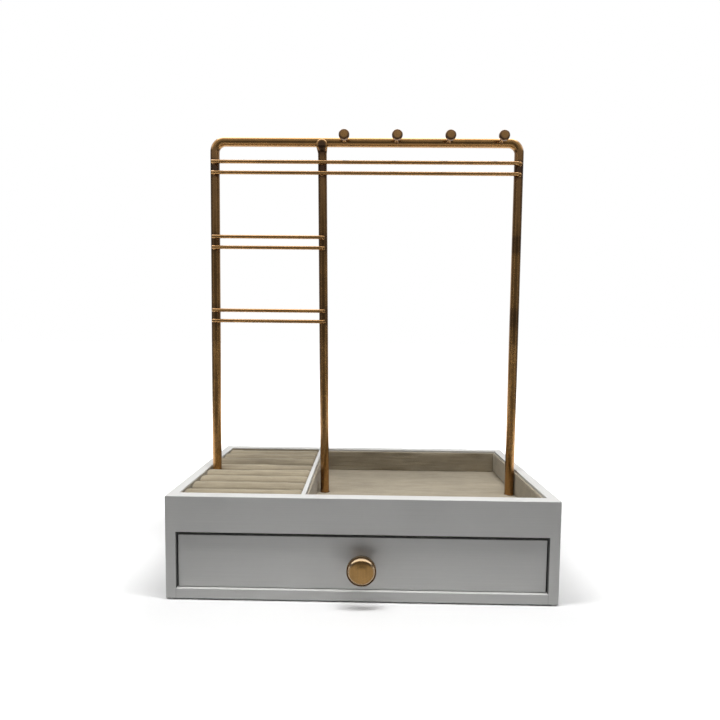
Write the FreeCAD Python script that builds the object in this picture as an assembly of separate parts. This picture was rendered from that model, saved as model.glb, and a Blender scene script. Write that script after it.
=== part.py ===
import FreeCAD, Part
import math
import os

# Jewellery stand with a drawer.
# Millimetres, +Z up. The origin is on the table under the centre of the base box; the drawer opens to -Y.

# ---------------------------------------------------------------- driving sizes

# Base box, painted boards.
base_width = 300.0
base_depth = 150.0
base_height = 80.0            # boards only, without the felt under them
side_board = 8.0
front_board = 8.0
back_board = 8.0
bottom_board = 8.0
arris = 0.5                   # rounding of the painted edges
felt_foot = 1.0               # felt sheet glued under the box
felt_foot_inset = 1.5
felt_foot_corner = 4.0
front_rail_height = 28.0

# Open tray in the top of the box.
tray_floor_thickness = 4.0
groove_depth = 3.0            # how far the tray floor reaches into the boards
dado_depth = 2.0              # how far the divider reaches into the front rail and the back panel
divider_thickness = 3.5
ring_bay_width = 94.6         # left side board to divider
lining = 2.0                  # felt-covered card on the tray's walls and floor
lining_below_rim = 2.0

# Ring rolls, felt over foam.
roll_count = 8
roll_card_thickness = 1.5
roll_gap = 0.3                # between neighbouring rolls
roll_end_gap = 0.7            # between the rolls and the walls round them
roll_crest_below_rim = 0.5
roll_foot_radius = 2.0

# Dowels at the corners.
dowel_radius = 2.0
dowel_in_side = 5.0
dowel_in_board = 11.0
dowel_edge = 7.0              # from a dowel to the edge of a rail
bottom_dowel_inset = 22.0     # from a dowel to the end of the bottom board
back_dowel_inset = 18.0

# Drawer.
drawer_recess = 2.0
drawer_front_thickness = 6.0
drawer_front_side_gap = 1.0
drawer_front_top_gap = 2.8
drawer_under_gap = 0.4
drawer_side_thickness = 6.0
drawer_back_thickness = 6.0
drawer_side_below_front = 1.5 # the drawer's sides stop this much lower than its front
drawer_bottom_thickness = 3.0
drawer_bottom_lift = 4.0      # from the lower edge of the sides to the drawer's bottom
drawer_groove = 3.0
drawer_lining_thickness = 1.5
drawer_lining_gap = 0.5
stop_radius = 4.0
stop_thickness = 4.5          # bumpers on the back panel
stop_gap = 0.5                # between the shut drawer and the bumpers
stop_inset = 30.0             # from a bumper to the side board

# Knob, turned.
knob_radius = 11.1
knob_head = 4.4
knob_edge = 2.0
knob_neck_radius = 3.6
knob_foot_radius = 5.5
knob_foot = 1.6
knob_foot_edge = 0.8
knob_flare = 3.2
knob_reach = 14.5             # from the drawer's front to the front of the knob
knob_thread_depth = 9.0
knob_screw_radius = 2.0
knob_screw_bite = 7.0
knob_screw_head_radius = 4.0
knob_screw_head = 2.4
knob_screw_head_edge = 1.0
washer_radius = 5.0
washer_thickness = 1.0
thread_clearance = 0.05
screw_hole_clearance = 0.3

# Stand, brass-coloured steel.
stand_height = 380.0          # table to the top of the rail
tube_radius = 4.0
tube_wall = 1.0
tube_bend = 9.0               # centre-line radius of the two corners
post_to_lining = 0.3
mid_post_radius = 4.0
mid_post_to_lining = 2.8
mid_post_lean = 4.3           # the middle post leans left by this much from its foot to the rail
post_hole_clearance = 0.5
tab_width = 10.0              # flattened top end of the middle post
tab_thickness = 3.0
tab_rise = 0.8                # top of the tab above the rail's centre line
tab_taper = 5.0
tab_straight = 1.2
tab_sink = 0.8                # how deep the tab beds into the rail; its rounded end is thin there
weld_sink = 0.35              # how deep welded round pieces bed into each other

# Earring bars, in pairs on the front of the posts.
pair_count = 3
bar_radius = 1.6
bar_pitch = 9.4               # between the two bars of a pair
pair_drop = 24.0              # rail centre line to the middle of the first pair
pair_spacing = 65.5
bar_overrun = 2.0             # bars start this far past the left post's centre line
long_bar_shortfall = 1.4      # bars of the first pair stop this far before the right post's centre line
short_bar_overrun = 0.4       # the other bars end this far past the middle post's centre line

# Hooks on the front of the rail.
hook_count = 4
hook_start = 19.9             # top of the middle post to the first hook
hook_end = 16.9               # last hook to the right post
hook_reach = 13.2             # rail centre line to the front of the head
hook_tilt = 8.0               # degrees above level
hook_stem_radius = 1.7
hook_head_radius = 4.7
hook_head = 2.6
hook_edge = 1.0
hook_back_edge = 0.5

# Fixings under the tray.
post_plug_length = 15.0
post_screw_radius = 2.0
post_screw_bite = 12.0
post_screw_head_radius = 3.9
recess_width = 0.9            # cross recess in the screw heads
recess_length = 4.4
recess_depth = 1.1

# ---------------------------------------------------------------- places worked out from the sizes

half_width = base_width / 2
front_y = -base_depth / 2
back_y = base_depth / 2
inner_x = half_width - side_board
inner_front_y = front_y + front_board
inner_back_y = back_y - back_board
box_z = felt_foot
rim_z = box_z + base_height
bay_floor_z = box_z + bottom_board
bay_top_z = rim_z - front_rail_height
tray_board_z = bay_top_z + tray_floor_thickness
lining_top_z = rim_z - lining_below_rim
divider_left_x = -inner_x + ring_bay_width
divider_right_x = divider_left_x + divider_thickness

post_x = inner_x - lining - post_to_lining - tube_radius
mid_foot_x = divider_right_x + lining + mid_post_to_lining + mid_post_radius
mid_post_y = mid_post_radius - tube_radius
rail_z = stand_height - tube_radius
bend_x = post_x - tube_bend
bend_z = rail_z - tube_bend
bar_y = -tube_radius - bar_radius + weld_sink

drawer_front_y = front_y + drawer_recess
drawer_back_y = inner_back_y - stop_thickness - stop_gap
drawer_half = inner_x - drawer_front_side_gap
drawer_z = bay_floor_z + drawer_under_gap
drawer_front_top_z = bay_top_z - drawer_front_top_gap
drawer_side_top_z = drawer_front_top_z - drawer_side_below_front
drawer_inner_half = drawer_half - drawer_side_thickness
drawer_inner_front_y = drawer_front_y + drawer_front_thickness
drawer_inner_back_y = drawer_back_y - drawer_back_thickness
drawer_bottom_z = drawer_z + drawer_bottom_lift
knob_z = (drawer_z + drawer_front_top_z) / 2

mid_post_slope = mid_post_lean / (rail_z - tray_board_z)
mid_post_turn = -math.degrees(math.atan(mid_post_slope))

SAME = 1e-6                   # lengths closer than this are equal
UP = FreeCAD.Vector(0, 0, 1)
ALONG_X = FreeCAD.Vector(1, 0, 0)
TO_FRONT = FreeCAD.Vector(0, -1, 0)


# ---------------------------------------------------------------- helpers

def vec(x, y, z):
    return FreeCAD.Vector(x, y, z)


def block(x0, x1, y0, y1, z0, z1):
    return Part.makeBox(x1 - x0, y1 - y0, z1 - z0, vec(x0, y0, z0))


def rod(radius, start, direction, length):
    return Part.makeCylinder(radius, length, start, direction)


def round_edges(shape, radius, wanted):
    edges = [edge for edge in shape.Edges if wanted(edge)]
    return shape.makeFillet(radius, edges)


def edge_lies(edge, x=None, y=None, z=None):
    """True where both ends of the edge lie in the named planes."""
    for vertex in edge.Vertexes:
        for value, wanted in ((vertex.X, x), (vertex.Y, y), (vertex.Z, z)):
            if wanted is not None and abs(value - wanted) > SAME:
                return False
    return True


def turned(profile, place, direction):
    """Solid of revolution. The profile is a list of edges in radius (X) and distance along the axis (Z)."""
    face = Part.Face(Part.Wire(profile))
    solid = face.revolve(vec(0, 0, 0), UP, 360)
    solid.Placement = FreeCAD.Placement(place, FreeCAD.Rotation(UP, direction))
    return solid


def line(r0, z0, r1, z1):
    return Part.LineSegment(vec(r0, 0, z0), vec(r1, 0, z1)).toShape()


def quarter(cr, cz, radius, start, end):
    """Arc round (cr, cz) from one angle to another, in degrees, measured from the radius axis."""
    points = []
    for angle in (start, (start + end) / 2, end):
        turn = math.radians(angle)
        points.append(vec(cr + radius * math.cos(turn), 0, cz + radius * math.sin(turn)))
    return Part.Arc(*points).toShape()


def cross_recess(place, direction):
    """Cross-shaped cutter, its mouth at place, reaching along direction into a screw head."""
    bars = []
    for long_x, long_y in ((recess_length, recess_width), (recess_width, recess_length)):
        bars.append(block(-long_x / 2, long_x / 2, -long_y / 2, long_y / 2, 0, recess_depth))
    cutter = bars[0].fuse(bars[1])
    cutter.Placement = FreeCAD.Placement(place, FreeCAD.Rotation(UP, direction))
    return cutter


def group(solids):
    return Part.makeCompound(solids)


def mid_post_x(z):
    """Where the centre line of the leaning middle post is at a height."""
    return mid_foot_x - mid_post_slope * (z - tray_board_z)


# ---------------------------------------------------------------- base box

def dowel_places():
    """Where each dowel crosses from a board into a side board: y and z, the same on both sides."""
    front_mid_y = front_y + front_board / 2
    back_mid_y = back_y - back_board / 2
    bottom_mid_z = box_z + bottom_board / 2
    return [
        (front_mid_y, tray_board_z + groove_depth + dowel_radius),
        (front_mid_y, rim_z - dowel_edge),
        (front_y + bottom_dowel_inset, bottom_mid_z),
        (0.0, bottom_mid_z),
        (inner_back_y - bottom_dowel_inset, bottom_mid_z),
        (back_mid_y, box_z + back_dowel_inset),
        (back_mid_y, rim_z - back_dowel_inset),
    ]


def dowel_set():
    dowels = []
    for side in (-1, 1):
        for y, z in dowel_places():
            start = vec(side * (inner_x + dowel_in_side), y, z)
            dowels.append(rod(dowel_radius, start, ALONG_X * -side, dowel_in_side + dowel_in_board))
    return dowels


def tray_floor_block():
    reach_x = inner_x + groove_depth
    return block(-reach_x, reach_x, inner_front_y - groove_depth, inner_back_y + groove_depth,
                 bay_top_z, tray_board_z)


def divider():
    board = block(divider_left_x, divider_right_x, inner_front_y - dado_depth, inner_back_y + dado_depth,
                  tray_board_z, rim_z)
    return round_edges(board, arris, lambda edge: edge_lies(edge, z=rim_z) and edge.BoundBox.YLength > SAME)


def painted_case():
    """The case in one, its edges eased. The boards are cut out of it, so the rounding runs on over the joints."""
    case = block(-half_width, half_width, front_y, back_y, box_z, rim_z)
    tray = block(-inner_x, inner_x, inner_front_y, inner_back_y, bay_top_z, rim_z)
    bay = block(-inner_x, inner_x, front_y, inner_back_y, bay_floor_z, bay_top_z)

    def outside_edge(edge):
        if edge_lies(edge, z=rim_z) or edge_lies(edge, z=box_z) or edge_lies(edge, y=front_y):
            return True
        return edge_lies(edge, x=-half_width, y=back_y) or edge_lies(edge, x=half_width, y=back_y)

    return round_edges(case.cut([tray, bay]), arris, outside_edge)


def side_panel(case, side):
    outer = side * half_width
    inner = side * inner_x
    panel = case.common(block(min(outer, inner), max(outer, inner), front_y, back_y, box_z, rim_z))
    return panel.cut([tray_floor_block()] + dowel_set())


def front_rail(case):
    rail = case.common(block(-inner_x, inner_x, front_y, inner_front_y, bay_top_z, rim_z))
    return rail.cut([tray_floor_block(), divider()] + dowel_set())


def back_panel(case):
    panel = case.common(block(-inner_x, inner_x, inner_back_y, back_y, box_z, rim_z))
    return panel.cut([tray_floor_block(), divider()] + dowel_set())


def bottom_panel(case):
    panel = case.common(block(-inner_x, inner_x, front_y, inner_back_y, box_z, bay_floor_z))
    return panel.cut(dowel_set())


def tray_floor():
    return tray_floor_block().cut(post_screw_set(screw_hole_clearance))


def base_felt():
    edge_x = half_width - felt_foot_inset
    edge_y = base_depth / 2 - felt_foot_inset
    sheet = block(-edge_x, edge_x, -edge_y, edge_y, 0, felt_foot)
    return round_edges(sheet, felt_foot_corner, lambda edge: edge.BoundBox.ZLength > SAME)


def stop_bumpers():
    bumpers = []
    length = inner_back_y - drawer_back_y - stop_gap
    for side in (-1, 1):
        start = vec(side * (inner_x - stop_inset), inner_back_y, knob_z)
        bumpers.append(rod(stop_radius, start, TO_FRONT, length))
    return group(bumpers)


# ---------------------------------------------------------------- tray lining

def post_clearances(bottom, top):
    """Round cutters that leave room for the three posts between two heights."""
    cutters = []
    for x, y, radius, _ in post_feet():
        cutters.append(rod(radius + post_hole_clearance, vec(x, y, bottom), UP, top - bottom))
    return cutters


def tray_felt():
    felt = block(divider_right_x, inner_x, inner_front_y, inner_back_y, tray_board_z, tray_board_z + lining)
    return felt.cut(post_clearances(tray_board_z, tray_board_z + lining))


def liner(x0, x1, y0, y1):
    return block(x0, x1, y0, y1, tray_board_z + lining, lining_top_z)


def liner_right():
    return liner(inner_x - lining, inner_x, inner_front_y, inner_back_y)


def liner_back():
    return liner(divider_right_x, inner_x - lining, inner_back_y - lining, inner_back_y)


def liner_front():
    return liner(divider_right_x, inner_x - lining, inner_front_y, inner_front_y + lining)


def liner_divider():
    return liner(divider_right_x, divider_right_x + lining, inner_front_y + lining, inner_back_y - lining)


def roll_card():
    card = block(-inner_x + roll_end_gap, divider_left_x - roll_end_gap,
                 inner_front_y + roll_end_gap, inner_back_y - roll_end_gap,
                 tray_board_z, tray_board_z + roll_card_thickness)
    return card.cut(post_clearances(tray_board_z, tray_board_z + roll_card_thickness))


def ring_roll(index):
    """One roll, counted from the front: flat foot, straight flanks, half-round crest."""
    pitch = (inner_back_y - inner_front_y - 2 * roll_end_gap) / roll_count
    half = (pitch - roll_gap) / 2
    middle = inner_front_y + roll_end_gap + pitch * (index + 0.5)
    foot_z = tray_board_z + roll_card_thickness
    shoulder_z = rim_z - roll_crest_below_rim - half
    left = -inner_x + roll_end_gap
    right = divider_left_x - roll_end_gap
    flank = block(left, right, middle - half, middle + half, foot_z, shoulder_z)
    flank = round_edges(flank, roll_foot_radius,
                        lambda edge: edge_lies(edge, z=foot_z) and edge.BoundBox.XLength > SAME)
    crest = rod(half, vec(left, middle, shoulder_z), ALONG_X, right - left)
    crest = crest.common(block(left, right, middle - half, middle + half, shoulder_z, rim_z))
    roll = flank.fuse(crest).removeSplitter()
    return roll.cut(post_clearances(foot_z, rim_z))


# ---------------------------------------------------------------- drawer

def drawer_bottom_block():
    reach_x = drawer_inner_half + drawer_groove
    return block(-reach_x, reach_x, drawer_inner_front_y - drawer_groove, drawer_inner_back_y + drawer_groove,
                 drawer_bottom_z, drawer_bottom_z + drawer_bottom_thickness)


def drawer_front():
    front = block(-drawer_half, drawer_half, drawer_front_y, drawer_inner_front_y, drawer_z, drawer_front_top_z)
    front = round_edges(front, arris, lambda edge: edge_lies(edge, y=drawer_front_y))
    hole = rod(knob_screw_radius + screw_hole_clearance, vec(0, drawer_inner_front_y, knob_z), TO_FRONT,
               drawer_front_thickness)
    return front.cut([drawer_bottom_block(), hole])


def drawer_side(side):
    outer = side * drawer_half
    inner = side * drawer_inner_half
    board = block(min(outer, inner), max(outer, inner), drawer_inner_front_y, drawer_back_y,
                  drawer_z, drawer_side_top_z)
    return board.cut(drawer_bottom_block())


def drawer_back():
    board = block(-drawer_inner_half, drawer_inner_half, drawer_inner_back_y, drawer_back_y,
                  drawer_z, drawer_side_top_z)
    return board.cut(drawer_bottom_block())


def drawer_lining():
    edge_x = drawer_inner_half - drawer_lining_gap
    top = drawer_bottom_z + drawer_bottom_thickness
    return block(-edge_x, edge_x, drawer_inner_front_y + drawer_lining_gap,
                 drawer_inner_back_y - drawer_lining_gap, top, top + drawer_lining_thickness)


def knob():
    """Turned knob: flat foot, narrow neck, flared into a round-edged button."""
    head_back = knob_reach - knob_head
    flare_start = head_back - knob_flare
    edge_start = knob_radius - knob_edge
    profile = [
        line(0, 0, knob_foot_radius, 0),
        line(knob_foot_radius, 0, knob_foot_radius, knob_foot - knob_foot_edge),
        quarter(knob_foot_radius - knob_foot_edge, knob_foot - knob_foot_edge, knob_foot_edge, 0, 90),
        line(knob_foot_radius - knob_foot_edge, knob_foot, knob_neck_radius, knob_foot),
        line(knob_neck_radius, knob_foot, knob_neck_radius, flare_start),
        quarter(knob_neck_radius + knob_flare, flare_start, knob_flare, 180, 90),
        line(knob_neck_radius + knob_flare, head_back, edge_start, head_back),
        quarter(edge_start, head_back + knob_edge, knob_edge, -90, 0),
        line(knob_radius, head_back + knob_edge, knob_radius, knob_reach - knob_edge),
        quarter(edge_start, knob_reach - knob_edge, knob_edge, 0, 90),
        line(edge_start, knob_reach, 0, knob_reach),
        line(0, knob_reach, 0, 0),
    ]
    place = vec(0, drawer_front_y, knob_z)
    thread = rod(knob_screw_radius + thread_clearance, place, TO_FRONT, knob_thread_depth)
    return turned(profile, place, TO_FRONT).cut(thread)


def knob_screw():
    """Pan-head screw through the drawer front, its head inside the drawer on the washer."""
    seat_y = drawer_inner_front_y + washer_thickness
    length = washer_thickness + drawer_front_thickness + knob_screw_bite
    shank = rod(knob_screw_radius, vec(0, seat_y, knob_z), TO_FRONT, length)
    head = rod(knob_screw_head_radius, vec(0, seat_y + knob_screw_head, knob_z), TO_FRONT, knob_screw_head)
    head = round_edges(head, knob_screw_head_edge, lambda edge: edge_lies(edge, y=seat_y + knob_screw_head))
    screw = shank.fuse(head).removeSplitter()
    return screw.cut(cross_recess(vec(0, seat_y + knob_screw_head, knob_z), TO_FRONT))


def knob_washer():
    start = vec(0, drawer_inner_front_y + washer_thickness, knob_z)
    disc = rod(washer_radius, start, TO_FRONT, washer_thickness)
    return disc.cut(rod(knob_screw_radius + thread_clearance, start, TO_FRONT, washer_thickness))


# ---------------------------------------------------------------- stand

def post_feet():
    """The three posts where they stand on the tray floor: x, y, radius and the way they go up."""
    leaning = vec(-mid_post_slope, 0, 1).normalize()
    return [
        (-post_x, 0.0, tube_radius, UP),
        (mid_foot_x, mid_post_y, mid_post_radius, leaning),
        (post_x, 0.0, tube_radius, UP),
    ]


def post_rod(side, radius):
    return rod(radius, vec(side * post_x, 0, tray_board_z), UP, bend_z - tray_board_z)


def rail_rod(radius):
    return rod(radius, vec(-bend_x, 0, rail_z), ALONG_X, 2 * bend_x)


def post(side):
    return post_rod(side, tube_radius).cut(post_rod(side, tube_radius - tube_wall))


def top_rail():
    return rail_rod(tube_radius).cut(rail_rod(tube_radius - tube_wall))


def bend_rod(side, radius):
    section = Part.Face(Part.Wire(Part.Circle(vec(side * post_x, 0, bend_z), UP, radius).toShape()))
    return section.revolve(vec(side * bend_x, 0, bend_z), TO_FRONT * side, 90)


def corner_bend(side):
    """Quarter bend between the top of a post and the end of the rail."""
    return bend_rod(side, tube_radius).cut(bend_rod(side, tube_radius - tube_wall))


def mid_post():
    """Solid post whose top end is flattened to a round-ended tab on the front of the rail. It leans a little."""
    tab_centre_z = rail_z + tab_rise - tab_width / 2
    tab_start_z = tab_centre_z - tab_straight
    round_end_z = tab_start_z - tab_taper
    tab_y = -tube_radius - tab_thickness / 2 + tab_sink
    blank_z = (bay_top_z + tray_board_z) / 2    # the blank is cut level on the tray floor once it leans
    shank = rod(mid_post_radius, vec(mid_foot_x, mid_post_y, blank_z), UP, round_end_z - blank_z)
    low = Part.Circle(vec(mid_foot_x, mid_post_y, round_end_z), UP, mid_post_radius).toShape()
    high = Part.Ellipse(vec(mid_foot_x, tab_y, tab_start_z), tab_width / 2, tab_thickness / 2).toShape()
    taper = Part.makeLoft([Part.Wire(low), Part.Wire(high)], True)
    tab = Part.Face(Part.Wire(high)).extrude(UP * tab_straight)
    stretch = FreeCAD.Matrix()
    stretch.scale(1, tab_thickness / tab_width, 1)
    dome = Part.makeSphere(tab_width / 2, vec(0, 0, 0), UP, 0, 90).transformGeometry(stretch)
    dome.translate(vec(mid_foot_x, tab_y, tab_centre_z))
    thread = rod(post_screw_radius + thread_clearance, vec(mid_foot_x, mid_post_y, blank_z), UP,
                 tray_board_z + post_plug_length - blank_z)
    solid = shank.fuse([taper, tab, dome]).cut(thread)
    solid.rotate(vec(mid_foot_x, mid_post_y, tray_board_z), vec(0, 1, 0), mid_post_turn)
    return solid.cut([rail_rod(tube_radius), tray_floor_block()])


def bar_height(pair, upper):
    middle = rail_z - pair_drop - pair * pair_spacing
    return middle + bar_pitch / 2 if upper else middle - bar_pitch / 2


def bar(pair, upper):
    """Thin bar welded on the fronts of the posts. Only the first pair reaches the right post."""
    z = bar_height(pair, upper)
    start_x = -post_x - bar_overrun
    end_x = post_x - long_bar_shortfall if pair == 0 else mid_post_x(z) + short_bar_overrun
    piece = rod(bar_radius, vec(start_x, bar_y, z), ALONG_X, end_x - start_x)
    return piece.cut([post_rod(-1, tube_radius), mid_post(), post_rod(1, tube_radius)])


def hook_places():
    first = mid_post_x(rail_z) + hook_start
    last = post_x - hook_end
    step = (last - first) / (hook_count - 1)
    return [first + step * index for index in range(hook_count)]


def hook(index):
    """Headed stud that points forwards and a little upwards from the rail."""
    tilt = math.radians(hook_tilt)
    direction = vec(0, -math.cos(tilt), math.sin(tilt))
    head_back = hook_reach - hook_head
    profile = [
        line(0, 0, hook_stem_radius, 0),
        line(hook_stem_radius, 0, hook_stem_radius, head_back),
        line(hook_stem_radius, head_back, hook_head_radius - hook_back_edge, head_back),
        quarter(hook_head_radius - hook_back_edge, head_back + hook_back_edge, hook_back_edge, -90, 0),
        line(hook_head_radius, head_back + hook_back_edge, hook_head_radius, hook_reach - hook_edge),
        quarter(hook_head_radius - hook_edge, hook_reach - hook_edge, hook_edge, 0, 90),
        line(hook_head_radius - hook_edge, hook_reach, 0, hook_reach),
        line(0, hook_reach, 0, 0),
    ]
    stud = turned(profile, vec(hook_places()[index], 0, rail_z), direction)
    return stud.cut(rail_rod(tube_radius))


def post_plugs():
    plugs = []
    for x, y, _, upwards in post_feet():
        if upwards == UP:
            start = vec(x, y, tray_board_z)
            plug = rod(tube_radius - tube_wall, start, UP, post_plug_length)
            plugs.append(plug.cut(rod(post_screw_radius + thread_clearance, start, UP, post_plug_length)))
    return group(plugs)


def screw_seat(x, y, upwards):
    """Where a post's screw starts on the underside of the tray floor, in line with the post."""
    return vec(x, y, tray_board_z) - upwards * (tray_floor_thickness / upwards.z)


def post_screw_set(clearance):
    """Countersunk screws from below into the posts; with a clearance, the cutters for their holes."""
    screws = []
    shank_radius = post_screw_radius + clearance
    length = tray_floor_thickness + post_screw_bite
    profile = [
        line(0, 0, post_screw_head_radius, 0),
        line(post_screw_head_radius, 0, shank_radius, post_screw_head_radius - shank_radius),
        line(shank_radius, post_screw_head_radius - shank_radius, shank_radius, length),
        line(shank_radius, length, 0, length),
        line(0, length, 0, 0),
    ]
    for x, y, _, upwards in post_feet():
        screws.append(turned(profile, screw_seat(x, y, upwards), upwards))
    return screws


def post_screws():
    screws = []
    for screw, (x, y, _, upwards) in zip(post_screw_set(0.0), post_feet()):
        screws.append(screw.cut(cross_recess(screw_seat(x, y, upwards), upwards)))
    return group(screws)


# ---------------------------------------------------------------- all nodes

def nodes():
    case = painted_case()
    pieces = {
        "side_panel_left": side_panel(case, -1),
        "side_panel_right": side_panel(case, 1),
        "front_rail": front_rail(case),
        "back_panel": back_panel(case),
        "bottom_panel": bottom_panel(case),
        "tray_floor": tray_floor(),
        "divider": divider(),
        "carcass_dowels": group(dowel_set()),
        "base_felt": base_felt(),
        "stop_bumpers": stop_bumpers(),
        "tray_felt": tray_felt(),
        "liner_right": liner_right(),
        "liner_back": liner_back(),
        "liner_front": liner_front(),
        "liner_divider": liner_divider(),
        "roll_card": roll_card(),
        "drawer_front": drawer_front(),
        "drawer_side_left": drawer_side(-1),
        "drawer_side_right": drawer_side(1),
        "drawer_back": drawer_back(),
        "drawer_bottom": drawer_bottom_block(),
        "drawer_lining": drawer_lining(),
        "knob": knob(),
        "knob_screw": knob_screw(),
        "knob_washer": knob_washer(),
        "left_post": post(-1),
        "right_post": post(1),
        "left_corner_bend": corner_bend(-1),
        "right_corner_bend": corner_bend(1),
        "top_rail": top_rail(),
        "mid_post": mid_post(),
        "post_plugs": post_plugs(),
        "post_screws": post_screws(),
    }
    for index in range(roll_count):
        pieces[f"ring_roll_{index + 1}"] = ring_roll(index)
    for pair in range(pair_count):
        pieces[f"bar_{pair + 1}_upper"] = bar(pair, True)
        pieces[f"bar_{pair + 1}_lower"] = bar(pair, False)
    for index in range(hook_count):
        pieces[f"hook_{index + 1}"] = hook(index)
    return pieces


os.makedirs("parts", exist_ok=True)
for name, shape in nodes().items():
    shape.exportStep(f"parts/{name}.step")
    print(name, len(shape.Solids), "solid", round(shape.Volume, 1), "mm3", "valid" if shape.isValid() else "BAD")
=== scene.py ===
import math

import bmesh
import bpy
from mathutils import Matrix, Vector, noise


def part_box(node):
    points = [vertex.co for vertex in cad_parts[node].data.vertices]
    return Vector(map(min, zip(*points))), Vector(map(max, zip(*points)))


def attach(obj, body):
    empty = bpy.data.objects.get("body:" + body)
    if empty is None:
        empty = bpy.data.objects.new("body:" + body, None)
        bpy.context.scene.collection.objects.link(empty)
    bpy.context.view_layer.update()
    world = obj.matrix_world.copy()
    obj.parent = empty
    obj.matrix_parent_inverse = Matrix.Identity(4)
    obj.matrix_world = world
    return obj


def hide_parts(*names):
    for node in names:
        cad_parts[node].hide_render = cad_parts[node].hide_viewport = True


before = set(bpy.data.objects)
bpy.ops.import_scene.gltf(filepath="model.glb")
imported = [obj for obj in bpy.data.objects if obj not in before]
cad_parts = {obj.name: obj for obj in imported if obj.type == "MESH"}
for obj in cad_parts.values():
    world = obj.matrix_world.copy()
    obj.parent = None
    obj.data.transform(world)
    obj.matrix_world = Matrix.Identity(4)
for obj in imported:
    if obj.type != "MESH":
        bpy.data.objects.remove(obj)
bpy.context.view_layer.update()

# Jewellery stand with a drawer: painted box, felt-lined tray, ring rolls, brass-coloured steel stand.
# Metres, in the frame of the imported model: the drawer opens to -Y, +Z is up.

MM = 0.001
STAND = "stand"
DRAWER = "drawer"

POST_RADIUS = 4.0 * MM
TAB_WIDTH = 10.0 * MM             # flattened top end of the middle post
TAB_THICKNESS = 3.0 * MM
TAB_RISE = 0.8 * MM               # top of the tab above the rail's centre line
TAB_TAPER = 5.0 * MM
TAB_STRAIGHT = 1.2 * MM
TAB_LEAN = 0.07                   # how far the hammered face turns down, per unit of height
HOOK_COUNT = 4
HOOK_TILT = 8.0                   # degrees above level
HOOK_REACH = 13.2 * MM            # rail centre line to the front of the head
HOOK_STEM = 1.7 * MM
HOOK_HEAD = 4.7 * MM
HOOK_HEAD_THICKNESS = 2.6 * MM
ROLL_VOXEL = 1.3 * MM
ROLL_SWELL = 0.7 * MM             # how far the foam may press a roll's skin out
ROLL_TOUCH = 0.12 * MM            # how far a roll may lean on the next
ROLL_END_TOUCH = 0.25 * MM
ROLL_LIFTS = {6: 1.3 * MM, 7: 0.9 * MM}    # two of the rolls stand a little proud
ROLL_GROOVE_SHADE = 3.0 * MM            # below the crests, where painted shade darkens the felt between two rolls
FACING_THICKNESS = 0.35 * MM      # felt on the walls round the ring rolls, a dark sheet standing in for the shade past the roll ends
FACING_ABOVE_LINER = 0.8 * MM
EDGE_SKIN = 0.15 * MM             # a board's paint this near its edge belongs to the edge
SHADOW_REACH = (0.18, 0.5)        # from here to here the floor turns from matt to evenly white
BOUNCE_REACH = (0.12, 0.45)       # from here to here it throws less light back

WHITE_TONE = (0.635, 0.632, 0.617)
# painted shade for the faces round the drawer's gap
GAP_SHADE_TONE = (0.16, 0.16, 0.155)
FELT_TONE = (0.38, 0.331, 0.248)
ROLL_TONE = (0.375, 0.321, 0.228)
BRASS_TONE = (0.34, 0.176, 0.05)
# dark tone laid on the brass as painted shade
BRASS_SHADE_TONE = (0.035, 0.011, 0.002)
KNOB_TONE = (0.32, 0.182, 0.06)
# paler rim of the knob, a painted highlight
KNOB_RIM_HIGHLIGHT_TONE = (0.38, 0.28, 0.175)


# ---------------------------------------------------------------- finishes

class Finish:
    """A node material, with short ways of adding and wiring its nodes."""

    def __init__(self, name):
        self.material = bpy.data.materials.new(name)
        self.material.use_nodes = True
        self.tree = self.material.node_tree
        self.tree.nodes.clear()
        self.output = self.tree.nodes.new("ShaderNodeOutputMaterial")
        self.shader = self.node("BsdfPrincipled")
        self.tree.links.new(self.shader.outputs["BSDF"], self.output.inputs["Surface"])

    def wire(self, value, socket):
        if isinstance(value, bpy.types.NodeSocket):
            self.tree.links.new(value, socket)
        else:
            socket.default_value = value

    def node(self, kind, settings=None, **sockets):
        node = self.tree.nodes.new("ShaderNode" + kind)
        for name, value in (settings or {}).items():
            setattr(node, name, value)
        for name, value in sockets.items():
            self.wire(value, node.inputs[name.replace("_", " ")])
        return node

    def set(self, **sockets):
        for name, value in sockets.items():
            self.wire(value, self.shader.inputs[name.replace("_", " ")])

    def place(self, scale=(1, 1, 1), shift=(0, 0, 0), turn=(0, 0, 0)):
        """Object coordinates, moved, turned and stretched."""
        coordinates = self.node("TexCoord").outputs["Object"]
        mapping = self.node("Mapping", Vector=coordinates, Location=shift, Rotation=turn, Scale=scale)
        return mapping.outputs["Vector"]

    def grain(self, place, scale, detail=3.0, rough=0.5):
        return self.node("TexNoise", Vector=place, Scale=scale, Detail=detail, Roughness=rough).outputs["Fac"]

    def spread(self, value, low, high, to_low, to_high):
        remap = self.node("MapRange", {"clamp": True}, Value=value, From_Min=low, From_Max=high,
                          To_Min=to_low, To_Max=to_high)
        return remap.outputs["Result"]

    def sum(self, first, second, operation="ADD"):
        node = self.node("Math", {"operation": operation})
        self.wire(first, node.inputs[0])
        self.wire(second, node.inputs[1])
        return node.outputs["Value"]

    def between(self, amount, first, second):
        """A colour between two, by an amount from 0 to 1."""
        node = self.node("Mix", {"data_type": "RGBA"})
        self.wire(amount, node.inputs[0])
        for value, socket in ((first, node.inputs[6]), (second, node.inputs[7])):
            self.wire((*value, 1.0) if isinstance(value, tuple) else value, socket)
        return node.outputs[2]

    def relief(self, height, depth, strength=1.0, under=None):
        node = self.node("Bump", Height=height, Distance=depth, Strength=strength)
        if under is not None:
            self.wire(under, node.inputs["Normal"])
        return node.outputs["Normal"]


def shade(colour, factor):
    return tuple(channel * factor for channel in colour)


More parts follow.
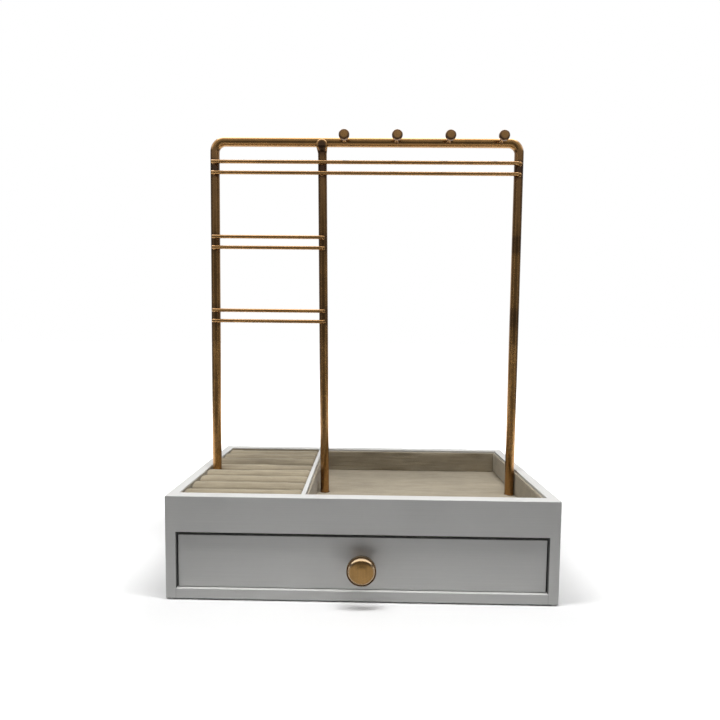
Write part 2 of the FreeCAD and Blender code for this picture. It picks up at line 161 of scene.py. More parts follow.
def white_paint(name="white_satin_paint", gap_shade=None):
    """Satin paint rolled on fibreboard, with the faint level lines of the sanding under it.

    Where the mask is 1, the board gets painted shade, dark as the drawer's gap.
    """
    paint = Finish(name)
    lines = paint.grain(paint.place(scale=(14, 14, 1300)), 1.0, 2.0)
    cloud = paint.grain(paint.place(), 22.0, 2.0)
    stipple = paint.grain(paint.place(), 1400.0, 2.0)
    mixed = paint.sum(paint.sum(lines, cloud), 0.5, "MULTIPLY")
    amount = paint.spread(mixed, 0.35, 0.65, 0.0, 1.0)
    colour = paint.between(amount, shade(WHITE_TONE, 0.965), shade(WHITE_TONE, 1.03))
    if gap_shade is not None:
        colour = paint.between(gap_shade(paint), colour, GAP_SHADE_TONE)
    paint.set(Base_Color=colour)
    paint.set(Roughness=paint.spread(cloud, 0.3, 0.7, 0.40, 0.52))
    rolled = paint.relief(stipple, 0.00004, 0.5)
    paint.set(Normal=paint.relief(lines, 0.00006, 0.5, rolled))
    return paint.material


def drawer_front_edges(paint):
    """1 on the top and side edges of the drawer front, where painted shade darkens the gap, and 0 on its
    face.
    """
    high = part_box("drawer_front")[1]
    parts = paint.node("SeparateXYZ", Vector=paint.place())
    across = paint.sum(parts.outputs["X"], 0.0, "ABSOLUTE")
    side = paint.spread(across, high.x - EDGE_SKIN, high.x - 0.9 * EDGE_SKIN, 0.0, 1.0)
    top = paint.spread(parts.outputs["Z"], high.z - EDGE_SKIN, high.z - 0.9 * EDGE_SKIN, 0.0, 1.0)
    return paint.sum(side, top, "MAXIMUM")


def drawer_bay_sides(paint):
    """1 on the faces of the side boards that look into the drawer's bay, where painted shade darkens them,
    and 0 elsewhere.
    """
    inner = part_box("side_panel_right")[0].x
    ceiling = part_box("tray_floor")[0].z
    parts = paint.node("SeparateXYZ", Vector=paint.place())
    across = paint.sum(parts.outputs["X"], 0.0, "ABSOLUTE")
    side = paint.spread(across, inner + 0.9 * EDGE_SKIN, inner + EDGE_SKIN, 1.0, 0.0)
    below = paint.spread(parts.outputs["Z"], ceiling, ceiling + EDGE_SKIN, 1.0, 0.0)
    return paint.sum(side, below, "MULTIPLY")


def bare_fibreboard():
    board = Finish("bare_fibreboard")
    tone = (0.42, 0.30, 0.185)
    chips = board.grain(board.place(scale=(900, 900, 1800)), 1.0, 4.0, 0.65)
    cloud = board.grain(board.place(), 30.0, 2.0)
    amount = board.spread(board.sum(chips, cloud), 0.7, 1.3, 0.0, 1.0)
    board.set(Base_Color=board.between(amount, shade(tone, 0.82), shade(tone, 1.12)), Roughness=0.8)
    board.set(Normal=board.relief(chips, 0.0001, 0.6))
    return board.material


def turned_beech():
    beech = Finish("beech_dowel")
    tone = (0.56, 0.37, 0.21)
    rings = beech.grain(beech.place(scale=(60, 1500, 1500)), 1.0, 3.0)
    beech.set(Base_Color=beech.between(rings, shade(tone, 0.8), shade(tone, 1.1)), Roughness=0.6)
    beech.set(Normal=beech.relief(rings, 0.00008, 0.5))
    return beech.material


def felt(name, tone, streaks, nap=0.25, groove=None):
    """Short-napped felt, combed mostly along X, with soft streaks and patches.

    It gets painted shade below the height of a groove.
    """
    cloth = Finish(name)
    fibres = cloth.grain(cloth.place(scale=(700, 2200, 2200)), 1.0, 4.0, 0.7)
    combed = cloth.grain(cloth.place(scale=(30, 520, 520)), 1.0, 3.0, 0.6)
    wear_and_highlight = cloth.grain(cloth.place(scale=(55, 130, 130)), 1.0, 3.0, 0.55)
    patches = cloth.grain(cloth.place(scale=(16, 34, 34)), 1.0, 2.0)
    amount = cloth.sum(cloth.sum(fibres, 0.4, "MULTIPLY"), cloth.sum(combed, streaks, "MULTIPLY"))
    patchy = cloth.sum(cloth.sum(wear_and_highlight, 0.5, "MULTIPLY"), cloth.sum(patches, 0.4, "MULTIPLY"))
    amount = cloth.sum(amount, patchy)
    middle = 0.5 * (0.4 + streaks + 0.9)
    amount = cloth.spread(amount, middle - 0.26, middle + 0.26, 0.0, 1.0)
    colour = cloth.between(amount, shade(tone, 0.77), shade(tone, 1.2))
    if groove is not None:
        height = cloth.node("SeparateXYZ", Vector=cloth.place()).outputs["Z"]
        # painted shade in the grooves between the rolls
        depth = cloth.spread(height, groove - 1.3 * MM, groove + 1.2 * MM, 0.55, 0.0)
        colour = cloth.between(depth, colour, shade(tone, 0.3))
    cloth.set(Base_Color=colour)
    cloth.set(Roughness=0.95, Specular_IOR_Level=0.25, Sheen_Weight=nap, Sheen_Roughness=0.45)
    fuzz = cloth.relief(fibres, 0.0004, 0.6)
    cloth.set(Normal=cloth.relief(combed, 0.0008, 0.5, fuzz))
    return cloth.material


def lining_card():
    card = Finish("grey_card")
    tone = (0.36, 0.32, 0.26)
    pulp = card.grain(card.place(), 1100.0, 4.0, 0.7)
    card.set(Base_Color=card.between(pulp, shade(tone, 0.85), shade(tone, 1.12)), Roughness=0.85)
    card.set(Normal=card.relief(pulp, 0.0001, 0.5))
    return card.material


def bumper_rubber():
    rubber = Finish("clear_grey_rubber")
    dust = rubber.grain(rubber.place(), 700.0, 3.0)
    rubber.set(Base_Color=rubber.between(dust, (0.30, 0.30, 0.29), (0.42, 0.42, 0.41)))
    rubber.set(Roughness=rubber.spread(dust, 0.3, 0.7, 0.42, 0.6))
    rubber.set(Normal=rubber.relief(dust, 0.00005, 0.4))
    return rubber.material


def antique_brass(name, tone, gloss, painted_shade=None):
    """Lacquered antique brass plate: a little clouded, finely rubbed, and darker where painted shade is laid
    on.
    """
    brass = Finish(name)
    cloud = brass.grain(brass.place(), 55.0, 3.0, 0.55)
    rub = brass.grain(brass.place(scale=(1300, 1300, 160)), 1.0, 3.0, 0.6)
    specks = brass.grain(brass.place(), 480.0, 4.0, 0.7)
    amount = brass.spread(brass.sum(cloud, specks), 0.75, 1.25, 0.0, 1.0)
    colour = brass.between(amount, shade(tone, 0.84), shade(tone, 1.12))
    if painted_shade is not None:
        colour = brass.between(painted_shade(brass), colour, BRASS_SHADE_TONE)
    brass.set(Base_Color=colour)
    brass.set(Metallic=1.0, Roughness=brass.spread(brass.sum(rub, cloud), 0.7, 1.3, gloss, gloss + 0.1))
    brass.set(Coat_Weight=0.6, Coat_Roughness=0.16)
    brass.set(Normal=brass.relief(rub, 0.00002, 0.05))
    return brass.material


def round_the_joints(brass):
    """Painted shade on the posts: dark round and between the bars of each pair, and darker towards the top.
    """
    height = brass.node("SeparateXYZ", Vector=brass.place()).outputs["Z"]
    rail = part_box("top_rail")[0].z
    dark = brass.spread(height, rail - 120 * MM, rail - 45 * MM, 0.0, 0.4)
    for number, depth in ((1, 0.9), (2, 0.6), (3, 0.5)):
        upper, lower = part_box(f"bar_{number}_upper"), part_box(f"bar_{number}_lower")
        middle = (upper[1].z + lower[0].z) / 2
        away = brass.sum(brass.sum(height, middle, "SUBTRACT"), 0.0, "ABSOLUTE")
        dark = brass.sum(dark, brass.spread(away, 6 * MM, 12 * MM, depth, 0.0), "MAXIMUM")
    return dark, height, rail


def on_the_frame(brass):
    """Painted shade on the posts round their joints; the rail above them has none."""
    dark, height, rail = round_the_joints(brass)
    return brass.sum(dark, brass.spread(height, rail - 4 * MM, rail, 1.0, 0.0), "MULTIPLY")


def on_the_tab(brass):
    """Painted shade on the middle post, up into the face of its hammered tab; the tab's rounded edge is left
    at the plain tone.
    """
    dark = round_the_joints(brass)[0]
    low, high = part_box("mid_post")
    dome = (low.x + TAB_WIDTH / 2, high.z - TAB_WIDTH / 2)
    parts = brass.node("SeparateXYZ", Vector=brass.place(shift=(-dome[0], 0, -dome[1])))
    across, up = parts.outputs["X"], parts.outputs["Z"]
    upper = brass.sum(up, 0.0, "MAXIMUM")
    square = brass.sum(brass.sum(across, 2.0, "POWER"), brass.sum(upper, 2.0, "POWER"))
    face = brass.spread(brass.sum(square, 0.5, "POWER"), 0.27 * TAB_WIDTH, 0.42 * TAB_WIDTH, 1.0, 0.0)
    depth = brass.spread(up, -13 * MM, -6 * MM, 0.3, 0.85)
    post = brass.sum(dark, brass.spread(up, -8 * MM, -2 * MM, 1.0, 0.0), "MULTIPLY")
    return brass.sum(post, brass.sum(face, depth, "MULTIPLY"), "MAXIMUM")


def round_the_heads(brass):
    """Painted shade on each hook's head: dark on its rolled edge, a little darker on its face."""
    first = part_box("hook_1")
    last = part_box(f"hook_{HOOK_COUNT}")
    middle = (first[0].x + first[1].x) / 2
    step = ((last[0].x + last[1].x) / 2 - middle) / (HOOK_COUNT - 1)
    height = first[1].z - HOOK_HEAD
    place = brass.node("SeparateXYZ", Vector=brass.place(shift=(step / 2 - middle, 0, -height)))
    along = brass.sum(brass.sum(place.outputs["X"], step, "FLOORED_MODULO"), step / 2, "SUBTRACT")
    square = brass.sum(brass.sum(along, 2.0, "POWER"), brass.sum(place.outputs["Z"], 2.0, "POWER"))
    return brass.spread(brass.sum(square, 0.5, "POWER"), 0.55 * HOOK_HEAD, 0.8 * HOOK_HEAD, 0.22, 0.8)


def spun_knob_metal():
    """The same plate on the knob: turning rings and wiping marks on its face, and a paler rim that is a
    painted highlight.
    """
    metal = Finish("turned_knob_brass")
    low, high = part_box("knob")
    centre = (low + high) / 2
    axis = metal.place(shift=(-centre.x, 0, -centre.z))
    parts = metal.node("SeparateXYZ", Vector=axis)
    across = metal.sum(parts.outputs["X"], parts.outputs["X"], "MULTIPLY")
    upward = metal.sum(parts.outputs["Z"], parts.outputs["Z"], "MULTIPLY")
    radius = metal.sum(metal.sum(across, upward), 0.5, "POWER")
    along = metal.node("CombineXYZ", X=radius, Y=0.0, Z=0.0).outputs["Vector"]
    rings = metal.grain(along, 5200.0, 3.0, 0.6)
    wiped = metal.grain(metal.place(scale=(520, 520, 60)), 1.0, 3.0, 0.6)
    cloud = metal.grain(metal.place(), 90.0, 3.0)
    amount = metal.spread(metal.sum(metal.sum(rings, cloud), wiped), 1.2, 1.8, 0.0, 1.0)
    face = metal.between(amount, shade(KNOB_TONE, 0.84), shade(KNOB_TONE, 1.12))
    outside = high.x - centre.x
    # the paler rim is a painted highlight
    wear_and_highlight = metal.spread(radius, 0.76 * outside, 0.86 * outside, 0.0, 1.0)
    metal.set(Base_Color=metal.between(wear_and_highlight, face, KNOB_RIM_HIGHLIGHT_TONE))
    metal.set(Metallic=1.0, Roughness=metal.spread(cloud, 0.3, 0.7, 0.17, 0.25))
    metal.set(Coat_Weight=0.3, Coat_Roughness=0.1)
    metal.set(Normal=metal.relief(rings, 0.00002, 0.4))
    return metal.material


def zinc_steel():
    zinc = Finish("bright_zinc")
    cloud = zinc.grain(zinc.place(), 260.0, 4.0, 0.6)
    zinc.set(Base_Color=zinc.between(cloud, (0.48, 0.49, 0.50), (0.62, 0.62, 0.60)))
    zinc.set(Metallic=1.0, Roughness=zinc.spread(cloud, 0.3, 0.7, 0.28, 0.42))
    zinc.set(Normal=zinc.relief(cloud, 0.00004, 0.3))
    return zinc.material


def plug_plastic():
    plastic = Finish("black_nylon")
    skin = plastic.grain(plastic.place(), 900.0, 3.0)
    plastic.set(Base_Color=plastic.between(skin, (0.02, 0.02, 0.02), (0.035, 0.035, 0.034)))
    plastic.set(Roughness=plastic.spread(skin, 0.3, 0.7, 0.4, 0.55))
    plastic.set(Normal=plastic.relief(skin, 0.00005, 0.4))
    return plastic.material


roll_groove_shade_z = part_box("ring_roll_1")[1].z - ROLL_GROOVE_SHADE

finishes = {
    "painted_board": white_paint(),
    "plain_board": bare_fibreboard(),
    "dowel": turned_beech(),
    "tray_felt": felt("tray_felt_taupe", FELT_TONE, 0.5),
    "roll_felt": felt("roll_felt_taupe", shade(ROLL_TONE, 1.03), 0.9, groove=roll_groove_shade_z),
    "card": lining_card(),
    "base_felt": felt("base_felt_black", (0.02, 0.02, 0.021), 0.1, 0.1),
    "drawer_felt": felt("drawer_felt_taupe", FELT_TONE, 0.5),
    "bumper_rubber": bumper_rubber(),
    "antique_brass": antique_brass("antique_brass_plate", BRASS_TONE, 0.2),
    "frame_brass": antique_brass("frame_brass_painted_shade", BRASS_TONE, 0.2, on_the_frame),
    "tab_brass": antique_brass("tab_brass_painted_shade", BRASS_TONE, 0.2, on_the_tab),
    "hook_brass": antique_brass("hook_brass_painted_shade", BRASS_TONE, 0.2, round_the_heads),
    "knob_metal": spun_knob_metal(),
    "zinc_steel": zinc_steel(),
    "plug_plastic": plug_plastic(),
}


# ---------------------------------------------------------------- making pieces

def clean_shell(mesh, sharp=None):
    """Closes seams, turns faces outwards and shades the mesh smooth, with sharp edges past an angle."""
    shell = bmesh.new()
    shell.from_mesh(mesh)
    bmesh.ops.remove_doubles(shell, verts=shell.verts, dist=1e-6)
    bmesh.ops.recalc_face_normals(shell, faces=shell.faces)
    for face in shell.faces:
        face.smooth = True
    shell.to_mesh(mesh)
    shell.free()
    if sharp is not None:
        mesh.set_sharp_from_angle(angle=math.radians(sharp))
    return mesh


def new_piece(name, mesh):
    piece = bpy.data.objects.new(name, mesh)
    bpy.context.scene.collection.objects.link(piece)
    return piece


def finish_piece(piece, body, slot, nodes, finish=None):
    """Gives a finished piece its material and its body, and hides the CAD nodes that it stands for."""
    piece.data.materials.clear()
    piece.data.materials.append(finishes[finish or slot])
    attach(piece, body)
    if nodes:
        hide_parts(*nodes)
    return piece


def loft(rings):
    """Closed skin over a list of rings of points, with a fan at each end."""
    points = [point for ring in rings for point in ring]
    count = len(rings[0])
    faces = []
    for level in range(len(rings) - 1):
        for step in range(count):
            here = level * count + step
            beside = level * count + (step + 1) % count
            faces.append((here, beside, beside + count, here + count))
    for ring, first in ((rings[0], 0), (rings[-1], (len(rings) - 1) * count)):
        hub = len(points)
        points.append(sum(ring, Vector()) / count)
        faces += [(first + step, first + (step + 1) % count, hub) for step in range(count)]
    mesh = bpy.data.meshes.new("skin")
    mesh.from_pydata(points, [], faces)
    return mesh


def corner_arc(middle_along, middle_radius, radius, start, end, steps=6):
    """Points (distance along the axis, radius) on a rounded edge, from one angle to another in degrees."""
    points = []
    for index in range(steps + 1):
        turn = math.radians(start + (end - start) * index / steps)
        points.append((middle_along + radius * math.sin(turn), middle_radius + radius * math.cos(turn)))
    return points


def turned(profile, place, direction, segments=64):
    """Turned piece: the profile lists distance along the axis and radius."""
    side = direction.orthogonal().normalized()
    other = direction.cross(side)
    rings = []
    for along, radius in profile:
        ring = []
        for step in range(segments):
            turn = 2 * math.pi * step / segments
            ring.append(place + direction * along + (side * math.cos(turn) + other * math.sin(turn)) * radius)
        rings.append(ring)
    return loft(rings)


# ---------------------------------------------------------------- node trees for the stand

class Tree:
    """A geometry node tree with named inputs, that ends in Realize Instances and Set Material."""

    def __init__(self, name, sizes):
        self.tree = bpy.data.node_groups.new(name, "GeometryNodeTree")
        self.tree.interface.new_socket("Geometry", in_out="INPUT", socket_type="NodeSocketGeometry")
        self.tree.interface.new_socket("Geometry", in_out="OUTPUT", socket_type="NodeSocketGeometry")
        for size, kind in sizes.items():
            self.tree.interface.new_socket(size, in_out="INPUT", socket_type="NodeSocket" + kind)
        self.tree.interface.new_socket("Finish", in_out="INPUT", socket_type="NodeSocketMaterial")
        self.entry = self.tree.nodes.new("NodeGroupInput")

    def size(self, name):
        return self.entry.outputs[name]

    def node(self, kind, settings=None, **sockets):
        node = self.tree.nodes.new(kind)
        for name, value in (settings or {}).items():
            setattr(node, name, value)
        for name, value in sockets.items():
            socket = node.inputs[name.replace("_", " ")]
            if isinstance(value, bpy.types.NodeSocket):
                self.tree.links.new(value, socket)
            else:
                socket.default_value = value
        return node

    def close(self, geometry):
        realized = self.node("GeometryNodeRealizeInstances", Geometry=geometry)
        coated = self.node("GeometryNodeSetMaterial", Geometry=realized.outputs["Geometry"],
                           Material=self.size("Finish"))
        output = self.tree.nodes.new("NodeGroupOutput")
        self.tree.links.new(coated.outputs["Geometry"], output.inputs["Geometry"])
        return self.tree


def bake(name, tree, start, values, slot):
    """Runs a tree on a starting mesh and keeps the result as a plain mesh."""
    piece = new_piece(name, start)
    modifier = piece.modifiers.new("tree", "NODES")
    modifier.node_group = tree
    settings = {**values, "Finish": finishes[slot]}
    for item in tree.interface.items_tree:
        if item.in_out == "INPUT" and item.name in settings:
            modifier[item.identifier] = settings[item.name]
    graph = bpy.context.evaluated_depsgraph_get()
    mesh = bpy.data.meshes.new_from_object(piece.evaluated_get(graph))
    piece.modifiers.remove(modifier)
    piece.data = clean_shell(mesh, 40)
    return piece


def path_mesh(points, thickness=None):
    """A chain of edges, with a thickness at each point as an attribute."""
    mesh = bpy.data.meshes.new("path")
    mesh.from_pydata(points, [(i, i + 1) for i in range(len(points) - 1)], [])
    layer = mesh.attributes.new("thickness", "FLOAT", "POINT")
    layer.data.foreach_set("value", thickness or [1.0] * len(points))
    return mesh


def bent_tube_tree():
    tree = Tree("bent_tube", {"Tube Radius": "Float", "Bend Radius": "Float", "Bend Steps": "Int",
                              "Sides": "Int"})
    path = tree.node("GeometryNodeMeshToCurve", Mesh=tree.entry.outputs["Geometry"])
    bent = tree.node("GeometryNodeFilletCurve", {"mode": "POLY"}, Curve=path.outputs["Curve"],
                     Count=tree.size("Bend Steps"), Radius=tree.size("Bend Radius"))
    ring = tree.node("GeometryNodeCurvePrimitiveCircle", Resolution=tree.size("Sides"),
                     Radius=tree.size("Tube Radius"))
    tube = tree.node("GeometryNodeCurveToMesh", Curve=bent.outputs["Curve"],
                     Profile_Curve=ring.outputs["Curve"], Fill_Caps=True)
    return tree.close(tube.outputs["Mesh"])


def bar_rows_tree():
    """Thin round bars one below the other, each like the starting path, its ends rounded by the thickness."""
    tree = Tree("bar_rows", {"Bar Radius": "Float", "Bars": "Int", "Bar Step": "Vector", "Sides": "Int"})
    path = tree.node("GeometryNodeMeshToCurve", Mesh=tree.entry.outputs["Geometry"])
    ring = tree.node("GeometryNodeCurvePrimitiveCircle", Resolution=tree.size("Sides"),
                     Radius=tree.size("Bar Radius"))
    thickness = tree.node("GeometryNodeInputNamedAttribute", {"data_type": "FLOAT"}, Name="thickness")
    bar = tree.node("GeometryNodeCurveToMesh", Curve=path.outputs["Curve"], Fill_Caps=True,
                    Profile_Curve=ring.outputs["Curve"], Scale=thickness.outputs["Attribute"])
    places = tree.node("GeometryNodeMeshLine", Count=tree.size("Bars"), Offset=tree.size("Bar Step"))
    rows = tree.node("GeometryNodeInstanceOnPoints", Points=places.outputs["Mesh"],
                     Instance=bar.outputs["Mesh"])
    return tree.close(rows.outputs["Instances"])


def weld_tree():
    """A small rounded bead of brazing at each point of the starting mesh, no two quite alike."""
    tree = Tree("weld_beads", {"Bead Size": "Vector", "Unevenness": "Float", "Seed": "Int"})
    bead = tree.node("GeometryNodeMeshIcoSphere", Radius=1.0, Subdivisions=4)
    shaped = tree.node("GeometryNodeTransform", Geometry=bead.outputs["Mesh"], Scale=tree.size("Bead Size"))
    lowest = tree.node("ShaderNodeMath", {"operation": "SUBTRACT"})
    tree.tree.links.new(tree.size("Unevenness"), lowest.inputs[1])
    lowest.inputs[0].default_value = 1.0
    size = tree.node("FunctionNodeRandomValue", {"data_type": "FLOAT"}, Seed=tree.size("Seed"))
    tree.tree.links.new(lowest.outputs["Value"], size.inputs[2])
    size.inputs[3].default_value = 1.0
    placed = tree.node("GeometryNodeInstanceOnPoints", Points=tree.entry.outputs["Geometry"],
                       Instance=shaped.outputs["Geometry"], Scale=size.outputs[1])
    return tree.close(placed.outputs["Instances"])


def repeat_tree():
    """Copies of the starting mesh at an even step."""
    tree = Tree("even_row", {"Count": "Int", "Step": "Vector"})
    places = tree.node("GeometryNodeMeshLine", Count=tree.size("Count"), Offset=tree.size("Step"))
    copies = tree.node("GeometryNodeInstanceOnPoints", Points=places.outputs["Mesh"],
                       Instance=tree.entry.outputs["Geometry"])
    return tree.close(copies.outputs["Instances"])


# ---------------------------------------------------------------- stand

def centre(node):
    low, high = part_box(node)
    return (low + high) / 2


def tube_frame():
    """The outer frame: one tube bent to an upside-down U."""
    left = centre("left_post")
    rail_low, rail_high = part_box("top_rail")
    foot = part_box("left_post")[0].z
    radius = (rail_high.z - rail_low.z) / 2
    rail_z = (rail_high.z + rail_low.z) / 2
    bend = rail_low.x - left.x
    path = path_mesh([(left.x, 0, foot), (left.x, 0, rail_z), (-left.x, 0, rail_z), (-left.x, 0, foot)])
    values = {"Tube Radius": radius, "Bend Radius": bend, "Bend Steps": 20, "Sides": 48}
    tube = bake("frame_tube", bent_tube_tree(), path, values, "antique_brass")
    return finish_piece(tube, STAND, "antique_brass",
                        ["left_post", "right_post", "left_corner_bend", "right_corner_bend", "top_rail"],
                        "frame_brass")


def bar_path(node):
    """Path of one bar with rounded ends, from the box of its CAD node."""
    low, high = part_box(node)
    radius = (high.z - low.z) / 2
    y = low.y + radius
    z = (low.z + high.z) / 2
    round_length = 0.75 * radius
    points = []
    thickness = []
    for step in range(7):
        turn = math.pi / 2 * step / 6
        points.append((low.x + round_length * (1 - math.cos(turn)), y, z))
        thickness.append(0.35 + 0.65 * math.sin(turn))
    middle = (low.x + high.x) / 2
    points += [(2 * middle - x, y, z) for x, _, _ in reversed(points)]
    thickness += list(reversed(thickness))
    return path_mesh(points, thickness), radius


def earring_bars():
    """Three pairs of bars, each pair made from its own upper bar."""
    tree = bar_rows_tree()
    drop = centre("bar_1_lower").z - centre("bar_1_upper").z
    for number, level in enumerate(("top", "middle", "low"), 1):
        path, radius = bar_path(f"bar_{number}_upper")
        values = {"Bar Radius": radius, "Bars": 2, "Bar Step": (0, 0, drop), "Sides": 24}
        bars = bake(f"{level}_earring_bars", tree, path, values, "antique_brass")
        finish_piece(bars, STAND, "antique_brass", [f"bar_{number}_upper", f"bar_{number}_lower"])


def oval_ring(x, y, z, half_width, half_depth, sides=40):
    ring = []
    for step in range(sides):
        turn = 2 * math.pi * step / sides
        ring.append(Vector((x + half_width * math.cos(turn), y + half_depth * math.sin(turn), z)))
    return ring


def post_line(node, z):
    """Where the middle of a post is at a height; only the middle post leans."""
    low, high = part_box(node)
    if node != "mid_post":
        return (low.x + high.x) / 2
    foot_x = high.x - POST_RADIUS
    tab_x = low.x + TAB_WIDTH / 2
    tab_z = high.z - TAB_WIDTH / 2
    return foot_x + (tab_x - foot_x) * (z - low.z) / (tab_z - low.z)


def middle_post():
    """Solid post that leans a little, its top hammered flat to a round-ended tab on the front of the rail."""
    low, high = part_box("mid_post")
    rail_z = centre("top_rail").z
    foot_x = high.x - POST_RADIUS
    tab_x = low.x + TAB_WIDTH / 2
    dome_z = rail_z + TAB_RISE - TAB_WIDTH / 2
    taper_z = dome_z - TAB_STRAIGHT - TAB_TAPER
    tab_y = TAB_THICKNESS / 2 + low.y
    slope = (tab_x - foot_x) / (dome_z - low.z)
    half_width = TAB_WIDTH / 2
    half_depth = TAB_THICKNESS / 2
    rings = [oval_ring(foot_x, 0, low.z, POST_RADIUS, POST_RADIUS)]
    for step in range(15):
        amount = step / 14
        ease = amount * amount * (3 - 2 * amount)
        z = taper_z + (TAB_TAPER + TAB_STRAIGHT / 2) * amount
        wide = POST_RADIUS + (half_width - POST_RADIUS) * ease
        deep = POST_RADIUS + (half_depth - POST_RADIUS) * ease
        rings.append(oval_ring(foot_x, tab_y * ease, z, wide, deep))
    for step in range(15):
        turn = math.pi / 2 * step / 14.4
        wide = half_width * math.cos(turn)
        deep = half_depth * math.cos(turn) ** 0.8
        rise = half_width * math.sin(turn)
        rings.append(oval_ring(foot_x, tab_y - TAB_LEAN * rise, dome_z + rise, wide, deep))
    for ring in rings:
        for point in ring:
            point.x += slope * (point.z - low.z)
    post = new_piece("flattened_mid_post", clean_shell(loft(rings), 50))
    return finish_piece(post, STAND, "antique_brass", ["mid_post"], "tab_brass")


def weld_beads():
    """Brazing where each bar lies on a post."""
    points = []
    for number, posts in ((1, ("left_post", "mid_post", "right_post")), (2, ("left_post", "mid_post")),
                          (3, ("left_post", "mid_post"))):
        for level in ("upper", "lower"):
            bar = centre(f"bar_{number}_{level}")
            for post in posts:
                points.append((post_line(post, bar.z), -POST_RADIUS + 0.25 * MM, bar.z))
    start = bpy.data.meshes.new("crossings")
    start.from_pydata(points, [], [])
    values = {"Bead Size": (2.1 * MM, 0.9 * MM, 2.0 * MM), "Unevenness": 0.14, "Seed": 4}
    beads = bake("weld_beads", weld_tree(), start, values, "antique_brass")
    return finish_piece(beads, STAND, "antique_brass", [])


def hooks():
    """Headed studs, turned, on the front of the rail, each in a small foot of brazing."""
    tilt = math.radians(HOOK_TILT)
    direction = Vector((0, -math.cos(tilt), math.sin(tilt)))
    rail_z = centre("top_rail").z
    first = centre("hook_1").x
    step = (centre(f"hook_{HOOK_COUNT}").x - first) / (HOOK_COUNT - 1)
    back = HOOK_REACH - HOOK_HEAD_THICKNESS
    neck_round = 0.6 * MM
    back_round = 0.5 * MM
    front_round = 1.0 * MM
    brazing = [(2.0 * MM, 1.3 * MM), (3.9 * MM, 0.9 * MM), (4.4 * MM, 0.35 * MM), (5.2 * MM, 0.0)]
    profile = [(along, HOOK_STEM + swell) for along, swell in brazing]
    profile.append((back - neck_round, HOOK_STEM))
    profile += corner_arc(back - neck_round, HOOK_STEM + neck_round, neck_round, -180, -270, 4)[1:]
    profile += corner_arc(back + back_round, HOOK_HEAD - back_round, back_round, -90, 0, 5)
    profile += corner_arc(HOOK_REACH - front_round, HOOK_HEAD - front_round, front_round, 0, 80, 7)
    profile += [(HOOK_REACH, HOOK_HEAD * 0.5), (HOOK_REACH, HOOK_HEAD * 0.2)]
    stud = turned(profile, Vector((first, 0, rail_z)), direction, 48)
    values = {"Count": HOOK_COUNT, "Step": (step, 0, 0)}
    row = bake("headed_hooks", repeat_tree(), clean_shell(stud), values, "antique_brass")
    nodes = [f"hook_{number}" for number in range(1, HOOK_COUNT + 1)]
    return finish_piece(row, STAND, "antique_brass", nodes, "hook_brass")


def drawer_knob():
    """Turned knob: flat foot, slim neck, flared head with a rounded edge and a slightly crowned face."""
    low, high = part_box("knob")
    radius = (high.x - low.x) / 2
    reach = high.y - low.y
    place = Vector(((low.x + high.x) / 2, high.y, (low.z + high.z) / 2))
    back = reach - 4.4 * MM
    foot = 5.5 * MM
    foot_round = 0.8 * MM
    neck = 3.6 * MM
    flare = 3.2 * MM
    back_round = 1.8 * MM
    crown = 1.0 * MM
    edge = 4.4 * MM
    rim = radius - edge
    profile = [(0.0, foot), (foot_round, foot)]
    profile += corner_arc(foot_round, foot - foot_round, foot_round, 0, 90, 5)[1:]
    profile += [(1.9 * MM, 4.1 * MM), (3.0 * MM, neck), (back - flare, neck)]
    profile += corner_arc(back - flare, neck + flare, flare, -180, -270, 8)[1:]
    profile += corner_arc(back + back_round, radius - back_round, back_round, -90, 0, 7)
    profile += corner_arc(reach - crown - edge, rim, edge, 0, 76, 9)
    for share in (0.9, 0.75, 0.6, 0.45, 0.3, 0.15, 0.03):
        profile.append((reach - crown * share * share, rim * share))
    knob = new_piece("turned_knob", clean_shell(turned(profile, place, Vector((0, -1, 0)), 96)))
    return finish_piece(knob, DRAWER, "knob_metal", ["knob"])


# ---------------------------------------------------------------- ring rolls, felt over foam

def merged_copy(node):
    """A closed copy of a CAD node's mesh."""
    return clean_shell(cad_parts[node].data.copy())


def evaluated_mesh(piece):
    graph = bpy.context.evaluated_depsgraph_get()
    return bpy.data.meshes.new_from_object(piece.evaluated_get(graph))


def remeshed(piece, voxel):
    """An even skin of small faces, which cloth needs, with the marks of the steps smoothed off."""
    modifier = piece.modifiers.new("remesh", "REMESH")
    modifier.mode = "VOXEL"
    modifier.voxel_size = voxel
    mesh = evaluated_mesh(piece)
    piece.modifiers.remove(modifier)
    skin = bmesh.new()
    skin.from_mesh(mesh)
    for _ in range(3):
        bmesh.ops.smooth_vert(skin, verts=skin.verts, factor=0.5, use_axis_x=True, use_axis_y=True,
                              use_axis_z=True)
    skin.to_mesh(mesh)
    skin.free()
    piece.data = mesh


def blown_up(piece, frames=20, pressure=4.0):
    """Where each point of the skin goes when the foam inside presses it out, by cloth."""
    cloth = piece.modifiers.new("cloth", "CLOTH")
    cloth.settings.quality = 5
    cloth.settings.mass = 0.3
    cloth.settings.use_pressure = True
    cloth.settings.uniform_pressure_force = pressure
    cloth.settings.effector_weights.gravity = 0.0
    cloth.point_cache.frame_start = 1
    cloth.point_cache.frame_end = frames
    scene = bpy.context.scene
    for step in range(1, frames + 1):
        scene.frame_set(step)
    places = [vertex.co.copy() for vertex in evaluated_mesh(piece).vertices]
    piece.modifiers.remove(cloth)
    scene.frame_set(1)
    return places


def filled_skin(node):
    """Skin of one roll, drawn tight by its foam as far as its place in the tray lets it."""
    piece = new_piece("roll_skin", merged_copy(node))
    remeshed(piece, ROLL_VOXEL)
    skin = piece.data
    for vertex, goal in zip(skin.vertices, blown_up(piece)):
        move = goal - vertex.co
        if move.length > ROLL_SWELL:
            move *= ROLL_SWELL / move.length
        vertex.co += move
    bpy.data.objects.remove(piece)
    return skin


